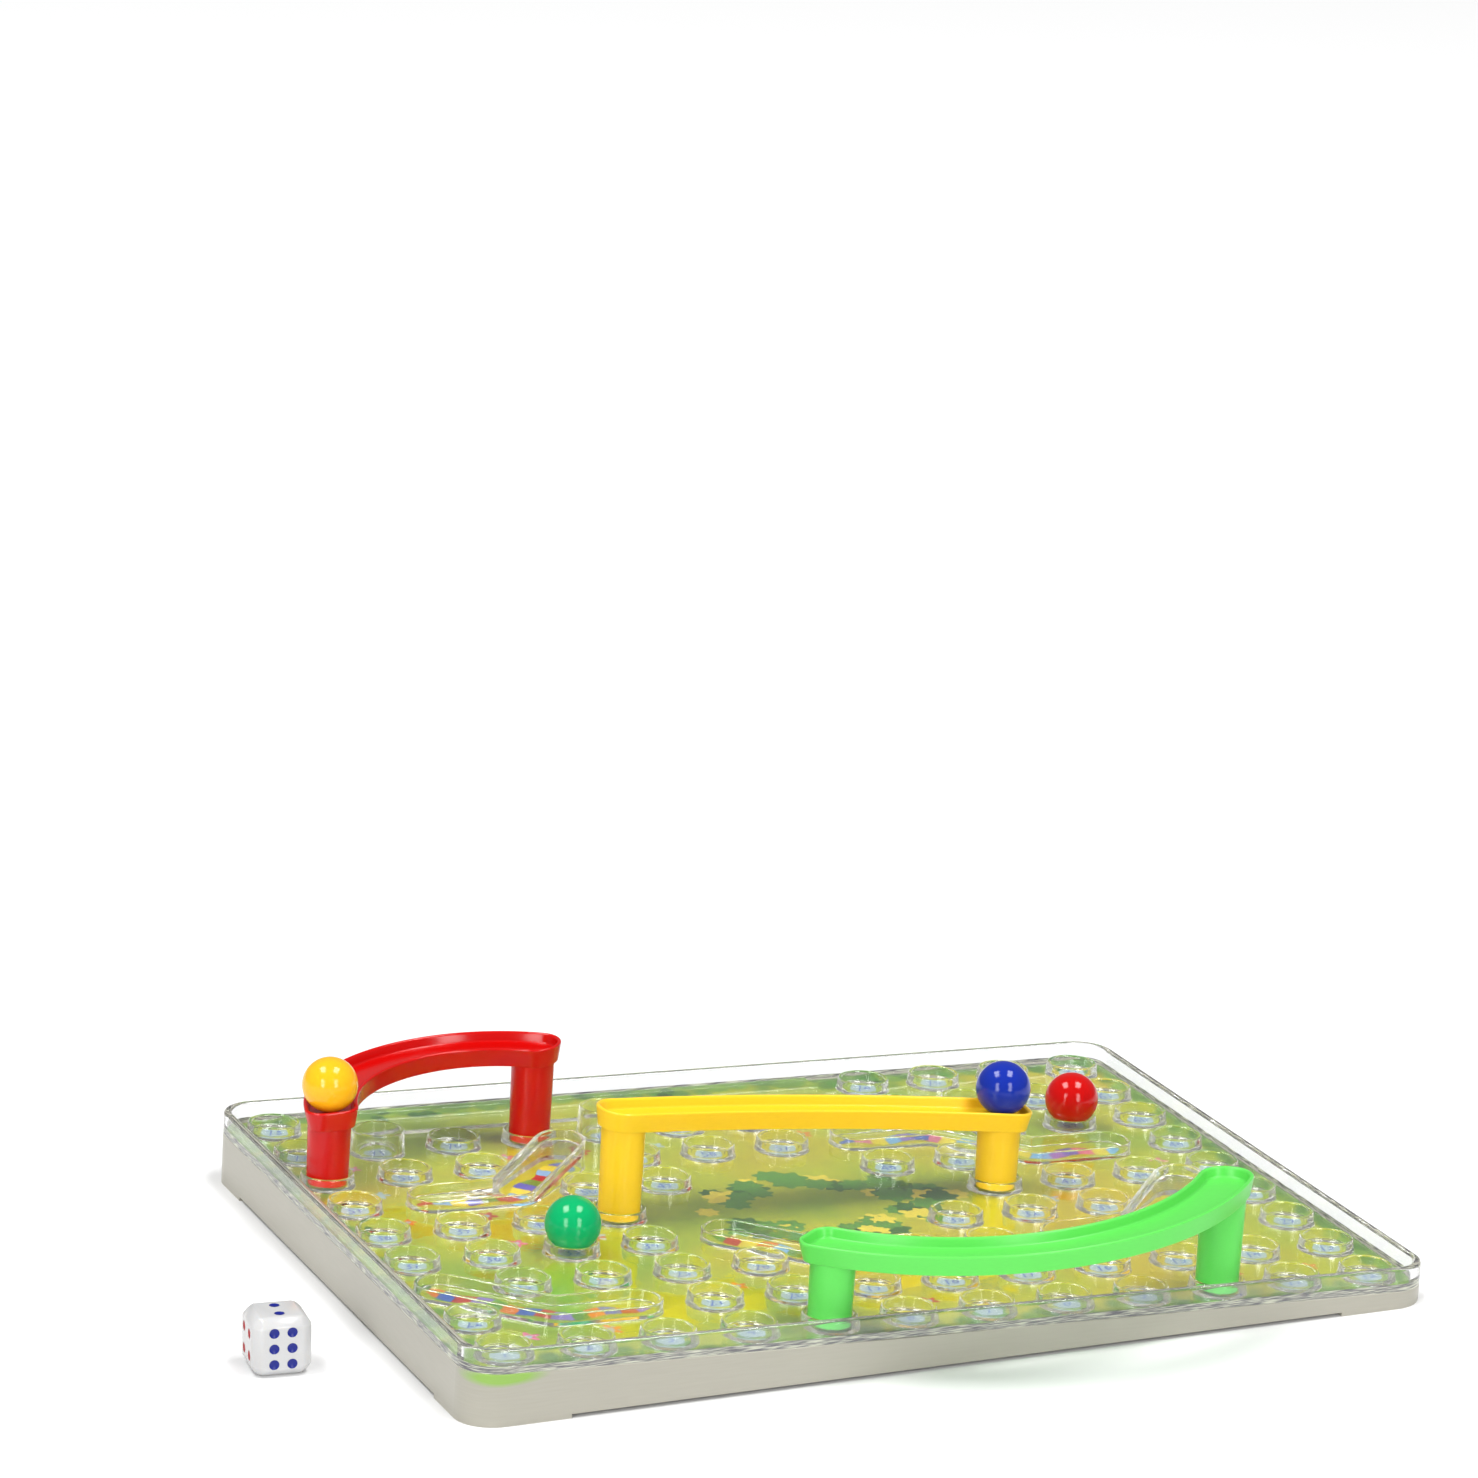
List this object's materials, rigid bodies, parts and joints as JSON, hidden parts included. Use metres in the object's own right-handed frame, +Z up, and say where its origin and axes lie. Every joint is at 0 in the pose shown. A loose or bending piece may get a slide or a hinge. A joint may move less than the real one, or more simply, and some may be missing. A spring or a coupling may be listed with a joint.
{
  "type": "snakes and ladders board",
  "caption": "Clear moulded snakes and ladders board on a sloping base, with plug-in slides on tubular legs, rolling balls and a die.",
  "frame": {"origin": "on the table, under the middle of the whole set: board, slides and die", "axes": "+X to the right along the board's length, the way the deck slopes down; +Y to the back; +Z up"},
  "size_m": [0.3078, 0.2215, 0.05],
  "materials": {
    "clear_plastic": "clear, glossy",
    "smoke_plastic": "warm grey, slightly see-through",
    "printed_card": "printed in colour, coated",
    "red_slide": "glossy",
    "yellow_slide": "glossy",
    "green_slide": "glossy",
    "yellow_ball": "glossy",
    "blue_ball": "glossy",
    "red_ball": "glossy",
    "green_ball": "glossy",
    "die": "satin"
  },
  "bodies": {
    "board": {"top_moulding": "clear_plastic", "cups_row_1": "clear_plastic", "cups_row_2": "clear_plastic", "cups_row_3": "clear_plastic", "cups_row_4": "clear_plastic", "cups_row_5": "clear_plastic", "cups_row_6": "clear_plastic", "cups_row_7": "clear_plastic", "cups_row_8": "clear_plastic", "cups_row_9": "clear_plastic", "leg_cups": "clear_plastic", "ball_cups": "clear_plastic", "tall_cups": "clear_plastic", "snake_1": "clear_plastic", "snake_2": "clear_plastic", "snake_3": "clear_plastic", "snake_4": "clear_plastic", "snake_5": "clear_plastic", "printed_card": "printed_card", "base": "smoke_plastic"},
    "red_slide_set": {"red_slide": "red_slide", "red_low_leg": "red_slide", "red_high_leg": "red_slide"},
    "yellow_ball": {"yellow_ball": "yellow_ball"},
    "yellow_slide_set": {"yellow_slide": "yellow_slide", "yellow_low_leg": "yellow_slide", "yellow_high_leg": "yellow_slide"},
    "blue_ball": {"blue_ball": "blue_ball"},
    "green_slide_set": {"green_slide": "green_slide", "green_low_leg": "green_slide", "green_high_leg": "green_slide"},
    "red_ball": {"red_ball": "red_ball"},
    "green_ball": {"green_ball": "green_ball"},
    "die": {"die": "die"}
  },
  "joints": [
    {"name": "lift_red_slide", "type": "slide", "parent": "board", "child": "red_slide_set", "axis": [0.0357, 0, 0.9994], "range_m": [0, 0.03]},
    {"name": "roll_yellow_ball", "type": "hinge", "parent": "red_slide_set", "child": "yellow_ball", "pos_m": [-0.06078, 0.04054, 0.03892], "axis": [0.0419, 0.0258, -0.9988], "range_deg": [0, 109.1]},
    {"name": "lift_yellow_slide", "type": "slide", "parent": "board", "child": "yellow_slide_set", "axis": [0.0357, 0, 0.9994], "range_m": [0, 0.03]},
    {"name": "roll_blue_ball", "type": "hinge", "parent": "yellow_slide_set", "child": "blue_ball", "pos_m": [0.01936, -0.45001, 0.03751], "axis": [0.108, 0, 0.9941], "range_deg": [0, 13.6]},
    {"name": "lift_green_slide", "type": "slide", "parent": "board", "child": "green_slide_set", "axis": [0.0357, 0, 0.9994], "range_m": [0, 0.03]},
    {"name": "lift_red_ball", "type": "slide", "parent": "board", "child": "red_ball", "axis": [0.0357, 0, 0.9994], "range_m": [0, 0.03]},
    {"name": "lift_green_ball", "type": "slide", "parent": "board", "child": "green_ball", "axis": [0.0357, 0, 0.9994], "range_m": [0, 0.03]},
    {"name": "lift_die", "type": "slide", "parent": "board", "child": "die", "axis": [0, 0, 1], "range_m": [0, 0.03]}
  ]
}
